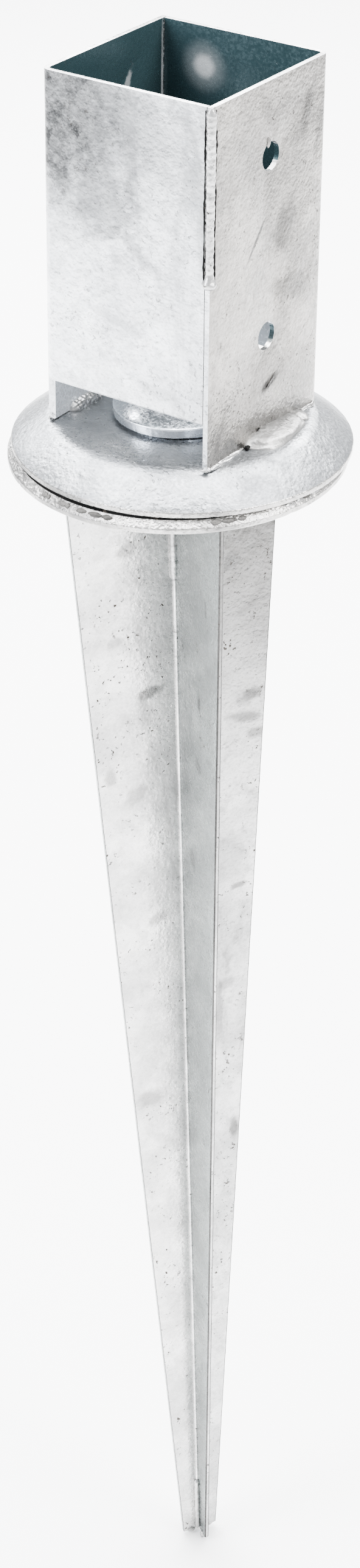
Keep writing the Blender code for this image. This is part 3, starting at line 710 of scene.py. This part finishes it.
for side, sign in (("right", 1), ("left", -1)):
    half = Matrix.Rotation(0.0 if sign > 0 else math.pi, 4, "Z")
    fillet(f"foot_weld_{side}_outer", (WALL_X, -0.0135, 0.0), (0, 1, 0), (1, 0, 0), (0, 0, 1),
           0.039, (0.0095, 0.0031), "head", [SWELL], (f"weld_foot_{side}_outer",), half,
           lump=0.10, bulge=1.05, seed=3.0 * sign, dent=crater, swell=heap, wave=0.0,
           rate=90.0)
    fillet(f"foot_weld_{side}_inner", (WALL_X - SHEET, 0.005, 0.0), (0, 1, 0), (-1, 0, 0),
           (0, 0, 1), 0.0205, (0.0032, 0.0032), "head", [WELD], (f"weld_foot_{side}_inner",),
           half, lump=0.2, seed=7.0 * sign)
    fillet(f"foot_zinc_{side}", (WALL_X, -0.0362, 0.0), (0, 1, 0), (1, 0, 0), (0, 0, 1),
           0.0225, (0.0012, 0.0009), "head", [EDGE], (), half, lump=0.25, bulge=1.6,
           seed=11.0 * sign)
    fillet(f"foot_zinc_far_{side}", (WALL_X, 0.0262, 0.0), (0, 1, 0), (1, 0, 0), (0, 0, 1),
           0.0095, (0.0011, 0.0008), "head", [EDGE], (), half, lump=0.25, bulge=1.6,
           seed=13.0 * sign)
    blobs(f"foot_drip_{side}", [
        ((WALL_X + 0.0001, -0.0372, 0.0006), (0.0009, 0.0010, 0.0009), (0, 0, 0.4)),
        ((WALL_X - 0.0012, -0.0384, 0.0003), (0.0016, 0.0006, 0.0005), (0, 0, 0.2)),
        ((WALL_X + 0.0004, 0.0335, 0.0004), (0.0007, 0.0016, 0.0006), (0, 0, 0.0)),
    ], "head", [EDGE], half, seed=sign)
    blobs(f"wall_drip_{side}", [
        ((WALL_X, -0.0017, 0.1160), (0.0005, 0.0011, 0.0019), (0, 0, 0)),
        ((WALL_X, 0.0040, 0.0212), (0.0003, 0.0042, 0.0009), (0.55, 0, 0)),
    ], "head", [SOCKET_ZINC_SHADED if sign > 0 else SOCKET_ZINC_LIT], half, seed=4.0 + sign)
    # Near-black blobs in the foot weld's crater and notch and along its top: painted shade
    blobs(f"foot_hollow_shade_{side}", [
        ((WALL_X + 0.0012, -0.0128, 0.0004), (0.0010, 0.0022, 0.0007), (0, 0, 0.5)),
        ((WALL_X + 0.0002, -0.0040, 0.0040), (0.0002, 0.0012, 0.0002), (0.2, 0, 0)),
        ((WALL_X + 0.0022, 0.0195, 0.0010), (0.0014, 0.0007, 0.0005), (0, 0, 0.3)),
    ], "head", [PAINTED_SHADE], half, seed=9.0 + sign)


# Dishes and the clamp between them


def dish_profile(sphere, crown_top, bore):
    inner_sphere = sphere - DISH_SHEET
    crown_foot = crown_top - DISH_SHEET
    top = arc((0.0, 0.0), sphere, math.asin(crown_top / sphere), math.acos(DISH_R / sphere), 8)
    under = arc((0.0, 0.0), inner_sphere, math.acos(DISH_R / inner_sphere),
                math.asin(crown_foot / inner_sphere), 8)
    outline = [(bore, crown_top, 0.0004), (*top[0], KNUCKLE)]
    outline += [(*point, 0.0) for point in top[1:-1]]
    outline += [(*top[-1], RIM_ROUND), (*under[0], RIM_ROUND)]
    outline += [(*point, 0.0) for point in under[1:-1]]
    outline += [(*under[-1], KNUCKLE - DISH_SHEET), (bore, crown_foot, 0.0004)]
    return spread(rounded(outline, steps=6), 0.0035)


def rim_faces(a, b):
    """1 on the rim, 0 elsewhere."""
    return 1 if min(a[0], b[0]) > DISH_R - 0.0009 else 0


def lower_rim_faces(a, b):
    """1 on the rim, 2 on the flange just behind it, where the upper plate shades it: painted
    shade.
    """
    middle_r, middle_z = (a[0] + b[0]) / 2, (a[1] + b[1]) / 2
    if middle_r > DISH_R - OPEN_RIM:
        return 1
    top_side = math.hypot(middle_r, middle_z) > LOWER_SPHERE - 0.0008
    return 2 if middle_r > SHADE_START_R and top_side else 0


OPEN_RIM = 0.0033               # width of the lower rim kept free of the painted shade
SHADE_START_R = 0.0555                # the painted shade starts at this radius
WORN_R = 0.058                  # the plates' wander and nicks start here
WORN_WIDTH = DISH_R - WORN_R
RIM_WANDER = 0.00010
RIM_NICKS = 0.00009
RIM_INSET = 0.00008             # keeps the wandering rim within the CAD model's
DISH_STEPS = 300


def dish(name, body, node, profile, matrix, materials, seed, nicks, edge_test):
    """A pressed plate with a rim that wanders a little and has a few nicks."""
    def shape(angle, r, z):
        near_rim = max(0.0, min(1.0, (r - WORN_R) / WORN_WIDTH))
        around = Vector((math.cos(angle), math.sin(angle), 0.0))
        wave = RIM_WANDER * noise.noise(around * 2.2 + Vector((seed, 0, 0)))
        fine = RIM_NICKS * noise.noise(around * 17.0 + Vector((0, seed, z * 300)))
        for place, depth, width in nicks:
            gap = (angle - place + math.pi) % (2 * math.pi) - math.pi
            fine -= depth * math.exp(-(gap / width) ** 2)
        return r + near_rim * (wave + fine - RIM_INSET), z + near_rim * wave * 0.5

    add_piece(name, turned(profile, DISH_STEPS, shape, edge_test=edge_test), body,
              materials, (node,), 40.0, matrix)


dish("upper_plate", "head", "upper_dish", dish_profile(UPPER_SPHERE, CROWN_TOP, SWING_HOLE_R),
     STRAIGHT, [PLATE_TOP, RIM], 1.3,
     [(math.radians(-46.0), 0.0006, 0.010), (math.radians(2.0), 0.0004, 0.008)], rim_faces)
dish("lower_plate", "spike", "lower_dish", dish_profile(LOWER_SPHERE, LOWER_CROWN, BOLT_HOLE_R),
     LEANING, [PLATE_LOW, RIM, PAINTED_SHADE], 5.8,
     [(math.radians(-16.0), 0.0004, 0.02), (math.radians(-121.0), 0.0003, 0.012)],
     lower_rim_faces)

# Zinc dross caught on the lower plate's flange, between the two rims: degrees, half length
FLANGE_R = 0.0640
FLANGE_Z = math.sqrt(LOWER_SPHERE ** 2 - FLANGE_R ** 2)
DARK_DROSS = ((-106.0, 0.0016), (-104.0, 0.0009), (-97.4, 0.0022), (-95.0, 0.0012),
              (-89.2, 0.0019), (-84.0, 0.0028), (-79.5, 0.0020), (-43.0, 0.0020),
              (-38.5, 0.0028), (-34.0, 0.0016), (-7.5, 0.0018), (40.0, 0.0018),
              (160.0, 0.0021))
LIGHT_DROSS = ((-15.5, 0.0026), (-11.0, 0.0021), (-3.0, 0.0028), (1.0, 0.0016),
               (97.0, 0.0025), (215.0, 0.0026))


def dross(name, rows, material, seed):
    items = []
    for degrees_at, length in rows:
        angle = math.radians(degrees_at)
        place = (FLANGE_R * math.cos(angle), FLANGE_R * math.sin(angle), FLANGE_Z + 0.0001)
        items.append((place, (0.0010, length, 0.00042), (0.0, 0.6, angle)))
    blobs(name, items, "spike", [material], LEANING, seed=seed)


dross("rim_dross", DARK_DROSS, DROSS, 2.0)
dross("rim_zinc", LIGHT_DROSS, EDGE, 6.0)

CLAMP_STEPS = 160
CLAMP_GAP = 0.0025              # between two rings of the clamp's meshes

seat_profile = arc((0.0, 0.0), SEAT_SPHERE, math.acos(SWING_HOLE_R / SEAT_SPHERE),
                   math.acos(CLAMP_R / SEAT_SPHERE), 8)
seat_outline = [(*p, 0.0) for p in seat_profile[:-1]] + [(*seat_profile[-1], 0.0004)]
seat_outline += [(CLAMP_R, SEAT_FOOT, 0.0003), (SWING_HOLE_R, SEAT_FOOT, 0.0003)]


def seat_shape(angle, r, z):
    """A rim that is a little uneven."""
    rim = max(0.0, min(1.0, (r - 0.022) / 0.003))
    around = Vector((math.cos(angle), math.sin(angle), z * 400))
    return r - rim * 0.00012 * (1 + noise.noise(around * 4.0)), z


add_piece("seat_ring",
          turned(spread(rounded(seat_outline, 4), CLAMP_GAP), CLAMP_STEPS, seat_shape),
          "seat", [DISC_ZINC], ("seat_washer",), 40.0, STRAIGHT)

disc_top = arc((0.0, 0.0), DISC_TOP, math.acos(BOLT_HOLE_R / DISC_TOP),
               math.acos(CLAMP_R / DISC_TOP), 10)
disc_under = arc((0.0, 0.0), DISC_SPHERE, math.acos(CLAMP_R / DISC_SPHERE),
                 math.acos(BOLT_HOLE_R / DISC_SPHERE), 10)
disc_outline = [(*disc_top[0], 0.0004)] + [(*p, 0.0) for p in disc_top[1:-1]]
disc_outline += [(*disc_top[-1], 0.0007), (*disc_under[0], 0.0004)]
disc_outline += [(*p, 0.0) for p in disc_under[1:]]


def disc_faces(a, b):
    """1 on the disc's edge, 0 elsewhere."""
    return 1 if min(a[0], b[0]) > CLAMP_R - 0.0006 and b[1] > a[1] else 0


add_piece("clamp_plate",
          turned(spread(rounded(disc_outline, 5), CLAMP_GAP), CLAMP_STEPS, seat_shape,
                 edge_test=disc_faces),
          "clamp", [DISC_ZINC, EDGE], ("clamp_disc",), 40.0, LEANING)

# Bolt: a chamfered hexagon head and a real thread
HALF_FLATS = BOLT_FLATS / 2
ON_FLATS = 1.0                  # a profile radius that stands for the hexagon itself
CHAMFER_START = HALF_FLATS - 0.0007
CHAMFER_GROWTH = 0.0024
CHAMFER_DROP = 0.0012
THREAD_START = 0.003            # below the head's foot
THREAD_DEPTH = 0.00075
THREAD_STEPS = 96
ROWS_PER_PITCH = 8


def hex_radius(angle):
    """Radius of a hexagon with corners on the Y axis."""
    from_flat = (angle + math.pi / 6) % (math.pi / 3) - math.pi / 6
    return HALF_FLATS / math.cos(from_flat)


def head_shape(angle, r, z):
    if r <= HALF_FLATS - 0.0012 or z < HEAD_FOOT - 0.0001:
        return r, z
    flat = hex_radius(angle)
    return (flat if r == ON_FLATS else min(r, flat)), z


def bolt_mesh():
    head_top = HEAD_FOOT + BOLT_HEAD_H
    profile = [(0.0, head_top - 0.0003), (0.0050, head_top - 0.0003), (0.0056, head_top)]
    profile += [(CHAMFER_START, head_top)]
    for k in range(1, 7):
        grow = k / 6
        profile.append((CHAMFER_START + CHAMFER_GROWTH * grow,
                        head_top - CHAMFER_DROP * grow ** 1.3))
    for k in range(1, 8):
        profile.append((ON_FLATS,
                        head_top - CHAMFER_DROP - (BOLT_HEAD_H - CHAMFER_DROP) * k / 8))
    profile += [(ON_FLATS, HEAD_FOOT + 0.0002), (HALF_FLATS - 0.0004, HEAD_FOOT),
                (THREAD_R, HEAD_FOOT)]
    shank_end = HEAD_FOOT - BOLT_LENGTH
    rows = int(BOLT_LENGTH / (THREAD_PITCH / ROWS_PER_PITCH))
    for k in range(1, rows + 1):
        profile.append((THREAD_R, HEAD_FOOT - BOLT_LENGTH * k / rows))
    profile.append((0.0, shank_end))

    def shape(angle, r, z):
        if z > HEAD_FOOT - 0.00005 and r > THREAD_R + 0.0002:
            return head_shape(angle, r, z)
        if r == THREAD_R and z < HEAD_FOOT - THREAD_START:
            phase = (HEAD_FOOT - z) / THREAD_PITCH + angle / (2 * math.pi)
            tooth = abs(2 * (phase % 1.0) - 1)
            fade = min(1.0, (z - shank_end) / 0.0012)
            return r - THREAD_DEPTH * tooth - 0.0008 * (1 - fade), z
        return r, z

    return turned(profile, THREAD_STEPS, shape, closed=False)


add_piece("clamp_bolt", bolt_mesh(), "bolt", [PLATED], ("pivot_bolt",), 28.0, LEANING)
refined("lock_washer", "spring_washer", "lock", [PLATED, EDGE], 0.00025, 2)
refined("pivot_nut", "welded_nut", "spike", [PLATED, EDGE], 0.00025, 2)

for side, turn in (("a", math.pi / 2), ("b", -math.pi / 2)):
    matrix = LEANING @ Matrix.Rotation(turn, 4, "Z")
    fillet("nut_tack_" + side, (-0.0045, BOLT_FLATS / 2, FIN_TOP + 0.0003), (1, 0, 0), (0, 1, 0),
           (0, 0, -1), 0.009, (0.003, 0.003), "spike", [WELD], ("weld_nut_" + side,), matrix,
           lump=0.2, seed=21.0 + turn)


# Spike

def fin_face(normal, middle):
    """2 for the sides of the front and back fins, 3 and 0 for those of the other two.

    3 is the greyer side, which the right fin turns to the front. These tones are painted light
    and shade.
    """
    local = SPIKE.to_3x3().inverted() @ normal
    place = SPIKE.inverted() @ middle
    if abs(local.y) > abs(local.x):
        return 2
    return 3 if place.y * local.x > 0 else 0


for side in ("front", "back"):
    refined("spike_angle_" + side, "fins_" + side, "spike",
            [SPIKE_LIT_SIDE, FIN_EDGE_SHADE, SPIKE_SHADED_SIDE, SPIKE_HALF_LIT_SIDE], 0.00055, 3, fin_face)

SHEET_INSET = 0.00066           # a crown weld's foot, off the fin's middle
for side, turn, sign in (("front", 0.0, -1), ("back", math.pi, -1),
                         ("left", -math.pi / 2, 1), ("right", math.pi / 2, 1)):
    matrix = SPIKE_SEAT @ Matrix.Rotation(FIN_ANGLE + turn, 4, "Z")
    fillet("crown_weld_" + side, (0.021, sign * SHEET_INSET, 0.0003), (1, 0, 0),
           (0, sign, 0), (0, 0, -1), 0.022, (0.0030, 0.0030), "spike", [WELD],
           ("weld_fin_" + side,), matrix, lump=0.2, seed=31.0 + turn)

NECK_TOP = FIN_TOP - 0.032
TIP_Z = FIN_TOP - FIN_LENGTH
for side, turn in (("front", 0.0), ("back", math.pi)):
    matrix = SPIKE @ Matrix.Rotation(turn, 4, "Z")
    bead("neck_weld_" + side, (0.0013, -0.0013, NECK_TOP - 0.030), (0.0013, -0.0013, NECK_TOP),
         0.0013, "spike", [WELD], ("weld_neck_" + side,), matrix, lump=0.15, seed=41.0 + turn)
    bead("tip_weld_" + side, (0.0015, -0.0015, TIP_Z + 0.001), (0.0015, -0.0015, TIP_Z + 0.034),
         0.0012, "spike", [WELD], ("weld_tip_" + side,), matrix, lump=0.25, seed=51.0 + turn)
    # A thin line of zinc fills the groove between the two sheets
    bead("groove_zinc_" + side, (0.0009, -0.0009, TIP_Z + 0.033),
         (0.0009, -0.0009, NECK_TOP - 0.029), 0.00085, "spike", [EDGE], (), matrix, lump=0.10,
         seed=61.0 + turn, sides=8)

blobs("tip_drips", [
    ((0.0050, -0.0008, TIP_Z - 0.0004), (0.0012, 0.0009, 0.0022), (0, 0, 0)),
    ((-0.0040, 0.0008, TIP_Z), (0.0016, 0.0009, 0.0011), (0, 0, 0)),
    ((0.0008, 0.0050, TIP_Z), (0.0009, 0.0016, 0.0010), (0, 0, 0)),
    ((0.0008, -0.0046, TIP_Z + 0.0002), (0.0010, 0.0018, 0.0010), (0, 0, 0)),
], "spike", [WELD], SPIKE, seed=12.0)


# Stage, light and camera


def stage_material(name, level):
    n = Nodes(name)
    cloud = n.noise(3.0, 3.0, 0.5)
    n.feed(n.shader.inputs["Base Color"],
           n.mix(n.ramp(cloud, 0.3, 0.7), grey(level), grey(level * 0.985)))
    n.shader.inputs["Roughness"].default_value = 0.9
    n.shader.inputs["Specular IOR Level"].default_value = 0.1
    return n.material


FLOOR_Z = -0.6125
FLOOR_HALF = 4.0


def stage_floor():
    """A wide white floor just below the spike's tip."""
    bm = bmesh.new()
    bmesh.ops.create_grid(bm, x_segments=24, y_segments=24, size=FLOOR_HALF)
    for vert in bm.verts:
        vert.co.z = FLOOR_Z
    mesh = bpy.data.meshes.new("floor")
    bm.to_mesh(mesh)
    bm.free()
    mesh.materials.append(stage_material("floor_white", 0.92))
    obj = bpy.data.objects.new("floor", mesh)
    bpy.context.scene.collection.objects.link(obj)


stage_floor()

CAMERA_TURN = math.radians(34.66)
CAMERA_DOWN = math.radians(27.89)
CAMERA_ROLL = math.radians(0.406)
CAMERA_PLACE = Vector((0.53443, -0.78632, 0.45356))
LIGHT_AIM = Vector((0.0, 0.0, -0.15))
WORLD_STRENGTH = 1.6


def softbox(name, azimuth, height, distance, size, power, colour):
    """An area light on a circle round the object that faces it; azimuth 0 is the camera's."""
    angle = CAMERA_TURN - math.pi / 2 + math.radians(azimuth)
    place = LIGHT_AIM + Vector((math.cos(angle) * distance, math.sin(angle) * distance, height))
    light = bpy.data.lights.new(name, "AREA")
    light.shape = "RECTANGLE"
    light.size, light.size_y = size
    light.energy = power
    light.color = colour
    obj = bpy.data.objects.new(name, light)
    obj.location = place
    obj.rotation_euler = (LIGHT_AIM - place).to_track_quat("-Z", "Y").to_euler()
    bpy.context.scene.collection.objects.link(obj)


softbox("overhead", 180.0, 2.5, 1.0, (3.8, 3.4), 800.0, (1.0, 1.0, 1.0))
softbox("key", 60.0, 1.5, 1.9, (1.0, 1.4), 100.0, (1.0, 0.985, 0.965))
softbox("fill", -65.0, 1.2, 2.0, (0.9, 1.6), 110.0, (0.94, 0.965, 1.0))
softbox("back", 190.0, 1.7, 2.6, (3.6, 1.7), 270.0, (0.98, 0.99, 1.0))

world = bpy.data.worlds.new("studio")
bpy.context.scene.world = world
world.use_nodes = True
background = world.node_tree.nodes["Background"]
background.inputs["Color"].default_value = (0.96, 0.98, 1.0, 1.0)
background.inputs["Strength"].default_value = WORLD_STRENGTH

camera_data = bpy.data.cameras.new("camera")
camera_data.lens = 63.316
camera_data.sensor_width = 36.0
camera_data.shift_x = 0.01160
camera_data.shift_y = -0.16522
camera_data.clip_start = 0.05
camera = bpy.data.objects.new("camera", camera_data)
turn = Matrix.Rotation(CAMERA_TURN, 4, "Z")
tip = Matrix.Rotation(math.pi / 2 - CAMERA_DOWN, 4, "X")
roll = Matrix.Rotation(CAMERA_ROLL, 4, "Z")
camera.matrix_world = Matrix.Translation(CAMERA_PLACE) @ turn @ tip @ roll
bpy.context.scene.collection.objects.link(camera)
bpy.context.scene.camera = camera
